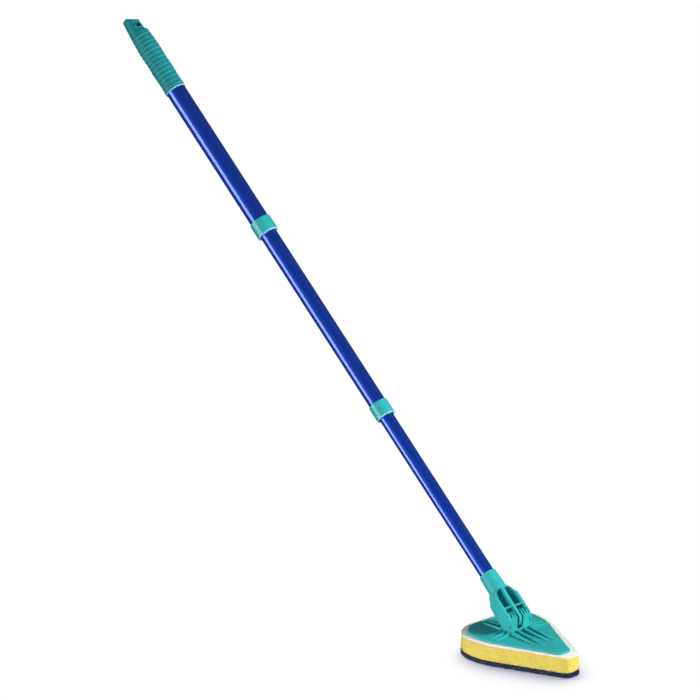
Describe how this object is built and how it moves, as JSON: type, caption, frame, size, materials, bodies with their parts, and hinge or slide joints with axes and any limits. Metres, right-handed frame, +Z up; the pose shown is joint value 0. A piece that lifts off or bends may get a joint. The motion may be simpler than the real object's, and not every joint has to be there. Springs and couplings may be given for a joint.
{
  "type": "telescopic wall and tile scrubber",
  "caption": "Telescopic pole with twist locks and a hinged triangular scrubbing head that carries a layered foam and scourer pad.",
  "frame": {"origin": "on the scrubbing face under the hinge pin, on the head's centre line", "axes": "+Z up and away from the surface being scrubbed, X along the hinge pin, -Y towards the head's narrow end, and the pole leans towards +Y"},
  "size_m": [0.1171, 0.837, 0.6346],
  "materials": {
    "grip": "satin dark teal",
    "upper_tube": "gloss royal blue",
    "upper_collar": "semi-gloss teal",
    "upper_lock_ring": "natural nylon",
    "upper_lock_plug": "natural nylon",
    "middle_tube": "gloss royal blue",
    "lower_collar": "semi-gloss teal",
    "lower_lock_ring": "natural nylon",
    "lower_lock_plug": "natural nylon",
    "lower_tube": "gloss royal blue",
    "yoke": "semi-gloss teal",
    "hinge_pin": "plain steel",
    "socket_screw": "plain steel",
    "back_plate": "semi-gloss teal",
    "hook_strip_left": "hook tape",
    "hook_strip_right": "hook tape",
    "hook_strip_front": "hook tape",
    "pad_backing": "off-white loop felt",
    "pad_foam": "fine-pored yellow foam",
    "pad_scourer": "coarse dark blue fibre"
  },
  "bodies": {
    "handle": {"grip": "grip", "upper_tube": "upper_tube", "upper_collar": "upper_collar"},
    "upper_ring": {"upper_lock_ring": "upper_lock_ring"},
    "middle_section": {"upper_lock_plug": "upper_lock_plug", "middle_tube": "middle_tube", "lower_collar": "lower_collar"},
    "lower_ring": {"lower_lock_ring": "lower_lock_ring"},
    "lower_section": {"lower_lock_plug": "lower_lock_plug", "lower_tube": "lower_tube", "yoke": "yoke", "hinge_pin": "hinge_pin", "socket_screw": "socket_screw"},
    "head": {"back_plate": "back_plate", "hook_strip_left": "hook_strip_left", "hook_strip_right": "hook_strip_right", "hook_strip_front": "hook_strip_front"},
    "pad": {"pad_backing": "pad_backing", "pad_foam": "pad_foam", "pad_scourer": "pad_scourer"}
  },
  "joints": [
    {"name": "middle_slide", "type": "slide", "parent": "handle", "child": "upper_ring", "axis": [0, 0.7793, 0.6266], "range_m": [0, 0.205]},
    {"name": "middle_twist", "type": "hinge", "parent": "upper_ring", "child": "middle_section", "pos_m": [0, 0.51047, 0.45793], "axis": [0, 0.7793, 0.6266], "range_deg": [0, 120]},
    {"name": "lower_slide", "type": "slide", "parent": "middle_section", "child": "lower_ring", "axis": [0, 0.7793, 0.6266], "range_m": [0, 0.235]},
    {"name": "lower_twist", "type": "hinge", "parent": "lower_ring", "child": "lower_section", "pos_m": [0, 0.28991, 0.2806], "axis": [0, 0.7793, 0.6266], "range_deg": [0, 120]},
    {"name": "head_hinge", "type": "hinge", "parent": "lower_section", "child": "head", "pos_m": [0, 0, 0.0475], "axis": [1, 0, 0], "range_deg": [-75, 33]},
    {"name": "pad_pull_off", "type": "slide", "parent": "head", "child": "pad", "axis": [0, 0, -1], "range_m": [0, 0.04]}
  ]
}
